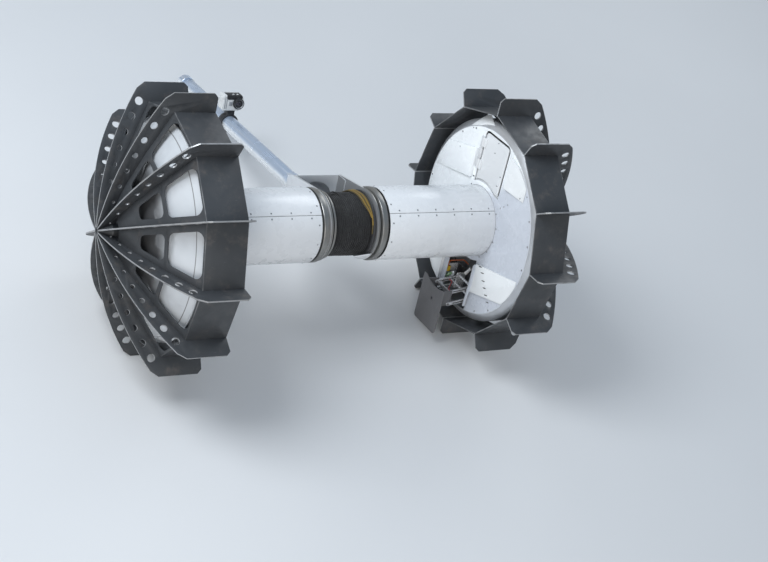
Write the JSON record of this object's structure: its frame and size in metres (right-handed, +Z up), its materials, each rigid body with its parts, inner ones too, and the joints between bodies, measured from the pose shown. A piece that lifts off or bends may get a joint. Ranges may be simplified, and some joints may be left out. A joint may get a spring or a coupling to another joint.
{
  "type": "planetary rover prototype",
  "caption": "Tethered axle rover with ribbed paddle wheels, instrument bays inside the wheels, a tether spool on the axle and a trailing boom.",
  "frame": {"origin": "middle of the axle, at the centre of the tether spool", "axes": "+X along the axle to the rover's right, +Y backward to the side of the boom, +Z up"},
  "size_m": [1.4, 1.4489, 0.7352],
  "materials": {
    "charcoal_sheet": "satin, dark blue-grey, worn bright at the edges",
    "white_paint": "gloss white paint",
    "rim_grey": "satin silver-grey",
    "lead_red": "insulated wire",
    "lead_orange": "insulated wire",
    "connector_yellow": "plain",
    "dome_grey": "glossy off-white",
    "bare_aluminium": "brushed and polished",
    "ring_grey": "satin grey",
    "hub_metal": "dark, turned",
    "shaft_metal": "turned",
    "plate_grey": "unpainted, dull",
    "tether_black": "woven sleeve, matte",
    "block_grey": "plain",
    "instrument_black": "matte",
    "camera_silver": "light grey",
    "camera_black": "matte black"
  },
  "bodies": {
    "body": {"centre_shaft": "shaft_metal", "bay_frame": "bare_aluminium", "instrument_body": "instrument_black", "axle_tube_left": "white_paint", "well_cover_left": "white_paint", "well_rim_left": "rim_grey", "well_dome_left": "dome_grey", "axle_stub_left": "shaft_metal", "end_ring_left": "ring_grey", "battery_block_left": "block_grey", "cover_bands_left": "white_paint", "axle_tube_right": "white_paint", "well_cover_right": "white_paint", "well_rim_right": "rim_grey", "well_dome_right": "dome_grey", "axle_stub_right": "shaft_metal", "end_ring_right": "ring_grey", "battery_block_right": "block_grey", "cover_bands_right": "white_paint", "door_hinges": "white_paint", "lead_connector": "connector_yellow", "bay_lead": "lead_orange"},
    "wheel_left": {"wheel_left_ribs": "charcoal_sheet", "wheel_left_panels": "charcoal_sheet", "wheel_left_hub": "hub_metal"},
    "wheel_right": {"wheel_right_ribs": "charcoal_sheet", "wheel_right_panels": "charcoal_sheet", "wheel_right_hub": "hub_metal"},
    "spool": {"spool_drum": "bare_aluminium", "tether_winding": "tether_black"},
    "boom": {"yoke_cheek_left": "bare_aluminium", "yoke_cheek_right": "bare_aluminium", "yoke_bridge": "bare_aluminium", "boom_socket": "bare_aluminium", "boom_tube": "bare_aluminium", "boom_tip": "bare_aluminium", "camera_mount": "camera_black", "camera_body": "camera_silver", "camera_lens": "camera_black"},
    "door_right_upper": {"bay_door_right_upper": "white_paint"},
    "door_left_upper": {"bay_door_left_upper": "white_paint"},
    "door_left_lower": {"bay_door_left_lower": "white_paint"},
    "link_inner": {"instrument_link_inner": "bare_aluminium", "link_lead": "lead_red"},
    "link_outer": {"instrument_link_outer": "bare_aluminium"},
    "plate": {"instrument_plate": "plate_grey"}
  },
  "joints": [
    {"name": "wheel_left_turn", "type": "hinge", "parent": "body", "child": "wheel_left", "pos_m": [-0.641, 0, 0], "axis": [1, 0, 0], "continuous": true},
    {"name": "wheel_right_turn", "type": "hinge", "parent": "body", "child": "wheel_right", "pos_m": [0.641, 0, 0], "axis": [1, 0, 0], "continuous": true},
    {"name": "spool_turn", "type": "hinge", "parent": "body", "child": "spool", "pos_m": [0, 0, 0], "axis": [1, 0, 0], "continuous": true},
    {"name": "boom_turn", "type": "hinge", "parent": "body", "child": "boom", "pos_m": [0, 0, 0], "axis": [1, 0, 0], "continuous": true},
    {"name": "door_right_upper_turn", "type": "hinge", "parent": "body", "child": "door_right_upper", "pos_m": [0.448, 0.10025, 0.16988], "axis": [0, -0.2581, -0.9661], "range_deg": [0, 110]},
    {"name": "door_left_upper_turn", "type": "hinge", "parent": "body", "child": "door_left_upper", "pos_m": [-0.448, 0.10025, 0.16988], "axis": [0, 0.2581, 0.9661], "range_deg": [0, 110]},
    {"name": "door_left_lower_turn", "type": "hinge", "parent": "body", "child": "door_left_lower", "pos_m": [-0.448, -0.10025, -0.16988], "axis": [0, -0.2581, -0.9661], "range_deg": [0, 110]},
    {"name": "instrument_swing", "type": "hinge", "parent": "body", "child": "link_inner", "pos_m": [0.478, -0.05291, -0.19805], "axis": [0, 0.9661, -0.2581], "range_deg": [-20, 100]},
    {"name": "link_outer_turn", "type": "hinge", "parent": "body", "child": "link_outer", "pos_m": [0.478, -0.06117, -0.22897], "axis": [0, 0.9661, -0.2581], "range_deg": [-20, 100]},
    {"name": "plate_level", "type": "hinge", "parent": "link_inner", "child": "plate", "pos_m": [0.39921, -0.0565, -0.21147], "axis": [0, 0.9661, -0.2581], "range_deg": [-100, 20]}
  ],
  "couplings": [
    {"joint": "link_outer_turn", "follows": "instrument_swing", "ratio": 1},
    {"joint": "plate_level", "follows": "instrument_swing", "ratio": -1}
  ]
}
